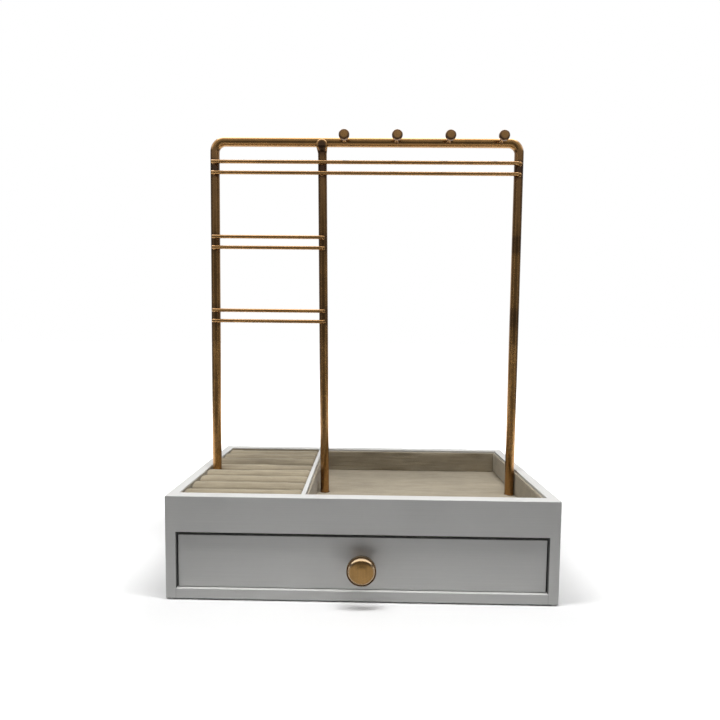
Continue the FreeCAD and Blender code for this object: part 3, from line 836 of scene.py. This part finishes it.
def hand_laid(skin, low, high, number, lift):
    """Makes one roll differ a little from its neighbours: crest height, and soft waves along its length."""
    height = high.z - low.z
    for vertex in skin.vertices:
        place = vertex.co
        above = max(0.0, min(1.0, (place.z - low.z) / height))
        crest = above * above
        long_wave = noise.noise(Vector((place.x * 22, number * 7.3, 0)))
        short_wave = noise.noise(Vector((place.x * 70, number * 3.1, 9.0)))
        dimple = noise.noise(Vector((place.x * 160, place.y * 160, place.z * 160 + number)))
        place.y += crest * (0.45 * long_wave + 0.2 * short_wave) * MM
        place.z += crest * (lift + (0.35 * short_wave + 0.3 * long_wave + 0.12 * dimple) * MM)
        place.y = max(low.y - ROLL_TOUCH, min(high.y + ROLL_TOUCH, place.y))
        place.x = max(low.x - ROLL_END_TOUCH, min(high.x + ROLL_END_TOUCH, place.x))
        place.z = max(low.z, place.z)


def ring_rolls():
    """Eight foam rolls in felt. Rolls 4 and 5 are notched for the left post; the others share one skin."""
    plain = filled_skin("ring_roll_1")
    plain_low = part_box("ring_roll_1")[0]
    for number in range(1, 9):
        node = f"ring_roll_{number}"
        low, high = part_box(node)
        if number in (4, 5):
            skin = filled_skin(node)
        else:
            skin = plain.copy()
            skin.transform(Matrix.Translation((0, low.y - plain_low.y, 0)))
        hand_laid(skin, low, high, number, ROLL_LIFTS.get(number, 0.0))
        roll = new_piece(f"felt_roll_{number}", skin)
        smoother = roll.modifiers.new("smoother", "SUBSURF")
        smoother.levels = 1
        smoother.render_levels = 1
        mesh = evaluated_mesh(roll)
        roll.modifiers.remove(smoother)
        roll.data = clean_shell(mesh)
        finish_piece(roll, STAND, "roll_felt", [node])


# ---------------------------------------------------------------- felt-covered boards and sheets

def sliced(shell, low, high, step):
    """Cuts a mesh at even steps along X, Y and Z, so that it can be made a little wavy."""
    for axis in range(3):
        normal = Vector((0, 0, 0))
        normal[axis] = 1.0
        count = int((high[axis] - low[axis]) / step)
        for index in range(1, count):
            place = Vector(low)
            place[axis] += (high[axis] - low[axis]) * index / count
            everything = shell.verts[:] + shell.edges[:] + shell.faces[:]
            bmesh.ops.bisect_plane(shell, geom=everything, plane_co=place, plane_no=normal, dist=1e-7)


def felt_board(name, low, high, rounding, waves, body, slot, nodes):
    """Board in a felt cover: folded, rounded edges and a surface that isn't quite flat."""
    shell = bmesh.new()
    bmesh.ops.create_cube(shell, size=1.0)
    size = high - low
    for vertex in shell.verts:
        vertex.co = low + Vector((vertex.co[axis] + 0.5) * size[axis] for axis in range(3))
    bmesh.ops.bevel(shell, geom=shell.edges[:], offset=rounding, segments=4, profile=0.5, affect="EDGES")
    sliced(shell, low, high, 5 * MM)
    for vertex in shell.verts:
        place = vertex.co
        wave = noise.noise_vector(Vector((place.x * 45, place.y * 45, place.z * 45)))
        for axis in range(3):
            inside = min(place[axis] - low[axis], high[axis] - place[axis])
            place[axis] += wave[axis] * waves * (1.0 if inside > 0.02 * MM else -0.5 - 0.5 * abs(wave[axis]))
            place[axis] = max(low[axis], min(high[axis], place[axis]))
    mesh = bpy.data.meshes.new(name)
    shell.to_mesh(mesh)
    shell.free()
    return finish_piece(new_piece(name, clean_shell(mesh, 50)), body, slot, nodes)


def felt_sheet(name, node, waves, body, slot):
    """Felt glued down on a board, cut as the CAD node is, its top side a little uneven."""
    mesh = merged_copy(node)
    low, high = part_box(node)
    shell = bmesh.new()
    shell.from_mesh(mesh)
    sliced(shell, low, high, 4 * MM)
    for vertex in shell.verts:
        if vertex.co.z > high.z - 0.01 * MM:
            lump = noise.noise(Vector((vertex.co.x * 60, vertex.co.y * 60, 0)))
            vertex.co.z -= waves * (0.5 + 0.5 * lump)
    shell.to_mesh(mesh)
    shell.free()
    return finish_piece(new_piece(name, clean_shell(mesh, 40)), body, slot, [node])


def felt_pieces():
    felt_sheet("tray_floor_felt", "tray_felt", 0.25 * MM, STAND, "tray_felt")
    felt_sheet("drawer_floor_felt", "drawer_lining", 0.25 * MM, DRAWER, "drawer_felt")
    felt_sheet("base_underlay_felt", "base_felt", 0.1 * MM, STAND, "base_felt")
    for side in ("right", "back", "front", "divider"):
        low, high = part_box(f"liner_{side}")
        felt_board(f"{side}_felt_liner", low, high, 0.7 * MM, 0.22 * MM, STAND, "tray_felt",
                   [f"liner_{side}"])
    bay_facings()


def bay_facings():
    """Thin felt on the four walls round the ring rolls, seen as a dark line past the roll ends: a dark sheet
    that stands in for the shade in those narrow gaps.
    """
    floor_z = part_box("ring_roll_1")[0].z
    top_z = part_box("liner_back")[1].z + FACING_ABOVE_LINER
    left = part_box("side_panel_left")[1].x
    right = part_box("divider")[0].x
    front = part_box("liner_front")[0].y
    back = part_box("liner_back")[1].y
    thin = FACING_THICKNESS
    walls = {"left": (left, left + thin, front, back), "right": (right - thin, right, front, back),
             "front": (left + thin, right - thin, front, front + thin),
             "back": (left + thin, right - thin, back - thin, back)}
    for side, (x0, x1, y0, y1) in walls.items():
        felt_board(f"roll_bay_{side}_facing", Vector((x0, y0, floor_z)), Vector((x1, y1, top_z)),
                   0.1 * MM, 0.04 * MM, STAND, "tray_felt", [])


# ---------------------------------------------------------------- CAD nodes that stay

def coat_nodes():
    """Gives every CAD node the finish of its own slot. The faces round the drawer's gap get painted shade."""
    gap_faces = {
        "drawer_front": white_paint("drawer_front_gap_shade_paint", drawer_front_edges),
        "side_panel_left": white_paint("side_panel_bay_shade_paint", drawer_bay_sides),
    }
    gap_faces["side_panel_right"] = gap_faces["side_panel_left"]
    for name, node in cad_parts.items():
        for holder in node.material_slots:
            holder.material = gap_faces.get(name, finishes[holder.material.name])


# ---------------------------------------------------------------- studio

def floor_material():
    """Pale floor: plain matt near the object, where it takes the shadow, and evenly white far from it."""
    floor = Finish("pale_floor")
    light_path = floor.node("LightPath")
    seen = floor.sum(light_path.outputs["Is Camera Ray"], light_path.outputs["Is Glossy Ray"], "MAXIMUM")
    seen = floor.sum(seen, light_path.outputs["Is Transmission Ray"], "MAXIMUM")
    distance = floor.node("VectorMath", {"operation": "LENGTH"}, Vector=floor.place()).outputs["Value"]
    far = floor.spread(distance, *SHADOW_REACH, 0.0, 1.0)
    outwards = floor.spread(distance, *BOUNCE_REACH, 0.0, 1.0)
    bounce = floor.between(outwards, (0.68, 0.68, 0.68), (0.2, 0.2, 0.2))
    matt = floor.node("BsdfDiffuse", Color=floor.between(seen, bounce, (0.92, 0.92, 0.92)))
    glow = floor.node("Emission", Color=(1, 1, 1, 1), Strength=floor.sum(seen, far, "MULTIPLY"))
    both = floor.node("AddShader")
    floor.wire(matt.outputs["BSDF"], both.inputs[0])
    floor.wire(glow.outputs["Emission"], both.inputs[1])
    floor.tree.nodes.remove(floor.shader)
    floor.wire(both.outputs["Shader"], floor.output.inputs["Surface"])
    return floor.material


def studio_floor():
    plane = bmesh.new()
    bmesh.ops.create_circle(plane, cap_ends=True, segments=96, radius=12.0)
    mesh = bpy.data.meshes.new("studio_floor")
    plane.to_mesh(mesh)
    plane.free()
    mesh.materials.append(floor_material())
    floor = new_piece("studio_floor", mesh)


def studio_world():
    """White where the camera, gloss or glass sees it, and only a faint light on the object."""
    world = bpy.data.worlds.new("white_studio")
    world.use_nodes = True
    bpy.context.scene.world = world
    nodes = world.node_tree.nodes
    links = world.node_tree.links
    nodes.clear()
    paths = nodes.new("ShaderNodeLightPath")
    seen = paths.outputs["Is Camera Ray"]
    for ray in ("Is Glossy Ray", "Is Transmission Ray"):
        larger = nodes.new("ShaderNodeMath")
        larger.operation = "MAXIMUM"
        links.new(seen, larger.inputs[0])
        links.new(paths.outputs[ray], larger.inputs[1])
        seen = larger.outputs["Value"]
    strength = nodes.new("ShaderNodeMapRange")
    links.new(seen, strength.inputs["Value"])
    strength.inputs["To Min"].default_value = 0.08
    strength.inputs["To Max"].default_value = 1.0
    background = nodes.new("ShaderNodeBackground")
    background.inputs["Color"].default_value = (1, 1, 1, 1)
    links.new(strength.outputs["Result"], background.inputs["Strength"])
    output = nodes.new("ShaderNodeOutputWorld")
    links.new(background.outputs["Background"], output.inputs["Surface"])


def softbox(name, place, aim, width, height, strength):
    """Area lamp that faces a point; strength is the brightness of its face."""
    lamp = bpy.data.lights.new(name, "AREA")
    lamp.shape = "RECTANGLE"
    lamp.size = width
    lamp.size_y = height
    lamp.energy = strength * math.pi * width * height
    holder = bpy.data.objects.new(name, lamp)
    holder.location = place
    holder.rotation_mode = "QUATERNION"
    holder.rotation_quaternion = (Vector(aim) - Vector(place)).to_track_quat("-Z", "Y")
    holder.visible_camera = False
    bpy.context.scene.collection.objects.link(holder)
    return holder


def flag_card(name, place, aim, width, height, grey):
    """One-sided card that only the object's gloss sees, as a studio flag or reflector is."""
    card = Finish(name)
    glow = card.node("Emission", Color=(grey, grey, grey, 1), Strength=1.0)
    clear = card.node("BsdfTransparent")
    back = card.node("NewGeometry").outputs["Backfacing"]
    one_sided = card.node("MixShader", Fac=back)
    card.wire(glow.outputs["Emission"], one_sided.inputs[1])
    card.wire(clear.outputs["BSDF"], one_sided.inputs[2])
    card.tree.nodes.remove(card.shader)
    card.wire(one_sided.outputs["Shader"], card.output.inputs["Surface"])
    sheet = bmesh.new()
    bmesh.ops.create_grid(sheet, x_segments=1, y_segments=1, size=0.5)
    turn = (Vector(aim) - Vector(place)).to_track_quat("Z", "Y").to_matrix().to_4x4()
    shape = Matrix.Translation(place) @ turn @ Matrix.Diagonal((width, height, 1, 1))
    bmesh.ops.transform(sheet, matrix=shape, verts=sheet.verts)
    mesh = bpy.data.meshes.new(name)
    sheet.to_mesh(mesh)
    sheet.free()
    mesh.materials.append(card.material)
    flag = new_piece(name, mesh)
    flag.visible_camera = False
    flag.visible_diffuse = False
    flag.visible_transmission = False
    flag.visible_shadow = False


def lights():
    strip = softbox("overhead_strip", (0, -0.21, 1.4), (0, -0.16, 0.05), 1.5, 0.14, 28.5)
    fill = softbox("overhead_fill", (0, 0.45, 1.4), (0, 0.05, 0.05), 1.4, 0.7, 1.2)
    strip.visible_glossy = False
    fill.visible_glossy = False
    softbox("left_softbox", (-1.27, -0.25, 0.75), (0, 0, 0.1), 0.9, 0.9, 0.85)
    softbox("right_softbox", (1.3, 0.1, 0.75), (0, 0, 0.1), 0.9, 0.9, 0.85)
    flag_card("overhead_reflector", (0, 0.3, 1.38), (0, 0.3, 0), 1.6, 1.3, 4.2)
    flag_card("knob_reflector", (0, -0.25, 0.2), (0, -0.25, 0), 1.0, 0.16, 2.7)
    flag_card("ceiling_flag", (0, -0.65, 1.38), (0, -0.65, 0), 1.8, 0.6, 1.0)
    flag_card("room_flag", (0, -0.97, 0.68), (0, 0, 0.68), 2.2, 1.45, 0.5)
    flag_card("front_flag", (0, -0.47, 0.2), (0, 0, 0.2), 0.9, 0.46, 0.15)
    for name, x in (("left", -0.8), ("right", 0.8)):
        flag_card(f"{name}_side_flag", (x, -0.15, 0.35), (0, -0.15, 0.35), 1.0, 0.8, 0.18)
        flag_card(f"{name}_back_flag", (x, 0.7, 0.35), (0, 0.7, 0.35), 0.7, 0.8, 0.35)
    flag_card("near_table_flag", (0, -0.17, 0.002), (0, -0.17, 1), 0.5, 0.16, 0.8)
    flag_card("table_flag", (0, -0.59, 0.002), (0, -0.59, 1), 1.8, 0.68, 0.5)


def camera():
    """Camera close in front of the object, at about half its height and almost level."""
    data = bpy.data.cameras.new("camera")
    data.sensor_width = 36.0
    data.lens = 21.387
    data.clip_start = 0.01
    data.clip_end = 60.0
    place = Vector((0.001104, -0.391353, 0.202939))
    yaw, pitch, roll = -0.01225, -0.05395, 0.0108
    ahead = Vector((math.sin(yaw) * math.cos(pitch), math.cos(yaw) * math.cos(pitch), math.sin(pitch)))
    level = Vector((math.cos(yaw), -math.sin(yaw), 0))
    above = level.cross(ahead)
    right = level * math.cos(roll) + above * math.sin(roll)
    up = above * math.cos(roll) - level * math.sin(roll)
    turn = Matrix((right, up, -ahead)).transposed().to_4x4()
    holder = bpy.data.objects.new("camera", data)
    holder.matrix_world = Matrix.Translation(place) @ turn
    bpy.context.scene.collection.objects.link(holder)
    bpy.context.scene.camera = holder


# ---------------------------------------------------------------- assembly

bpy.context.scene.view_settings.view_transform = "Standard"
coat_nodes()
tube_frame()
earring_bars()
middle_post()
weld_beads()
hooks()
drawer_knob()
ring_rolls()
felt_pieces()
camera()
studio_world()
studio_floor()
lights()
